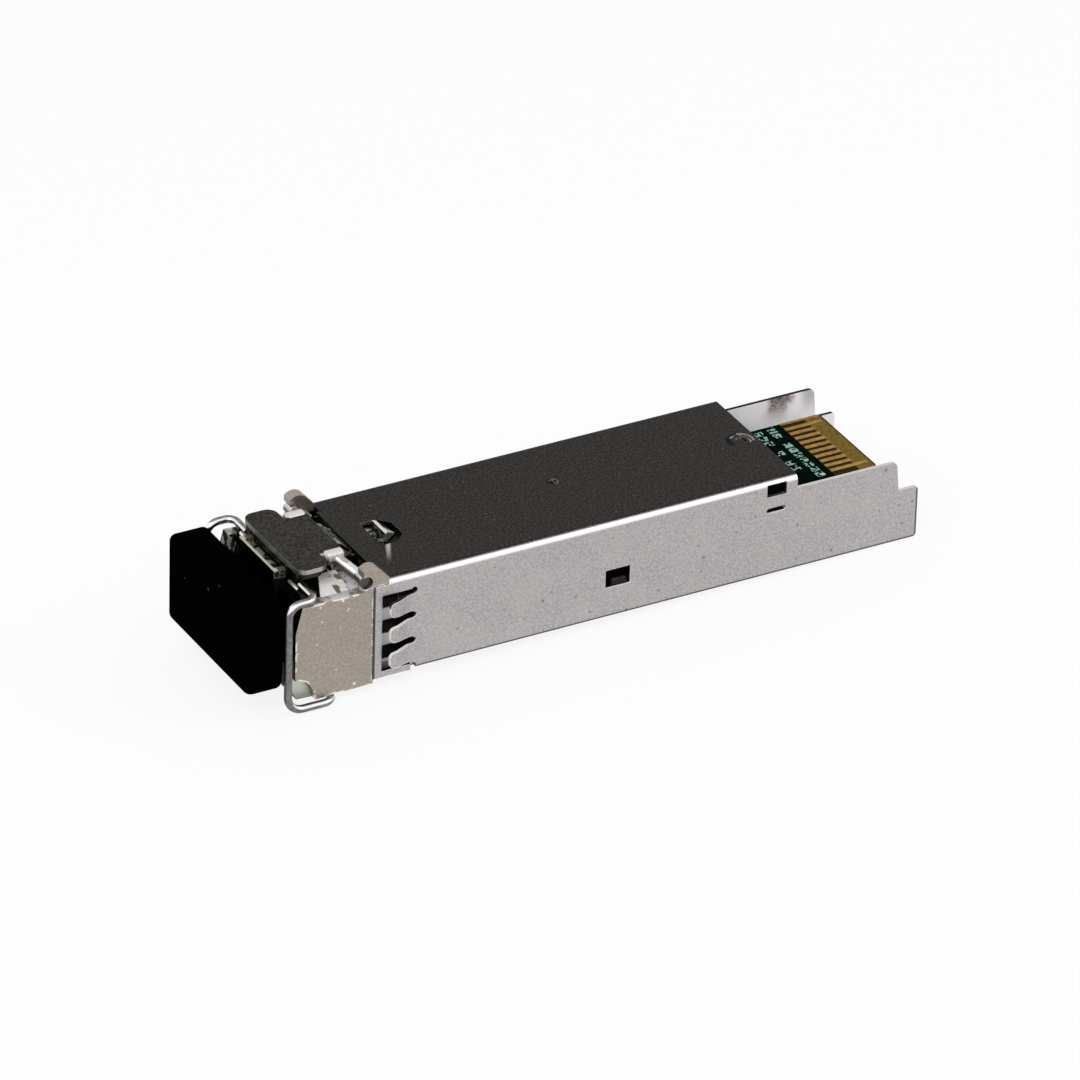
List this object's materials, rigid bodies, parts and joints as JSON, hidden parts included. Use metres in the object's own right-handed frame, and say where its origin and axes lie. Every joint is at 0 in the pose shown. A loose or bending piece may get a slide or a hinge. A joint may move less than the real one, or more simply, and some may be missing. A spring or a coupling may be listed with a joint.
{
  "type": "sfp transceiver",
  "caption": "Small pluggable fibre optic transceiver with folded metal shell, cast nose, wire bail, rocking latch, card edge and black dust plug in the connector ports.",
  "frame": {"origin": "middle of the rear end at the flat label side", "axes": "+X out of the rear end, along which the module goes into its cage; +Y across the module; +Z towards the latch side"},
  "size_m": [0.0599, 0.0148, 0.0114],
  "materials": {
    "nose_metal": "satin nickel plated casting",
    "shell_metal": "satin nickel plated sheet",
    "wire_metal": "bright drawn wire",
    "latch_metal": "satin, finely speckled",
    "spring_metal": "bright spring sheet",
    "optics_metal": "turned, bright",
    "plug": "matt soft plastic",
    "board": "green solder mask",
    "gold": "gold plated",
    "ceramic": "white, smooth",
    "flex": "amber film",
    "chip": "black moulding",
    "capacitor": "tan, matt",
    "resistor": "dark, matt"
  },
  "bodies": {
    "module": {"nose_housing": "nose_metal", "upper_shell": "shell_metal", "base_cover": "shell_metal", "latch_spring": "spring_metal", "circuit_board": "board", "contact_pads": "gold", "transmitter_barrel": "optics_metal", "receiver_barrel": "optics_metal", "transmitter_sleeve": "ceramic", "receiver_sleeve": "ceramic", "transmitter_can": "optics_metal", "receiver_can": "optics_metal", "optics_clamp": "spring_metal", "transmitter_flex": "flex", "receiver_flex": "flex", "laser_driver": "chip", "receive_amplifier": "chip", "memory_controller": "chip", "capacitors": "capacitor", "resistors": "resistor", "inductors": "resistor"},
    "bail": {"bail": "wire_metal"},
    "latch": {"latch_rocker": "latch_metal"},
    "plug": {"dust_plug": "plug"}
  },
  "joints": [
    {"name": "bail_swing", "type": "hinge", "parent": "module", "child": "bail", "pos_m": [-0.054, 0, 0.0085], "axis": [0, 1, 0], "range_deg": [0, 90]},
    {"name": "latch_rock", "type": "hinge", "parent": "module", "child": "latch", "pos_m": [-0.04945, 0, 0.0086], "axis": [0, 1, 0], "range_deg": [0, 7], "deforming": ["latch_spring"]},
    {"name": "dust_plug_pull", "type": "slide", "parent": "module", "child": "plug", "axis": [-1, 0, 0], "range_m": [0, 0.014]}
  ],
  "couplings": [
    {"joint": "latch_rock", "follows": "bail_swing", "ratio": 0.0777}
  ]
}
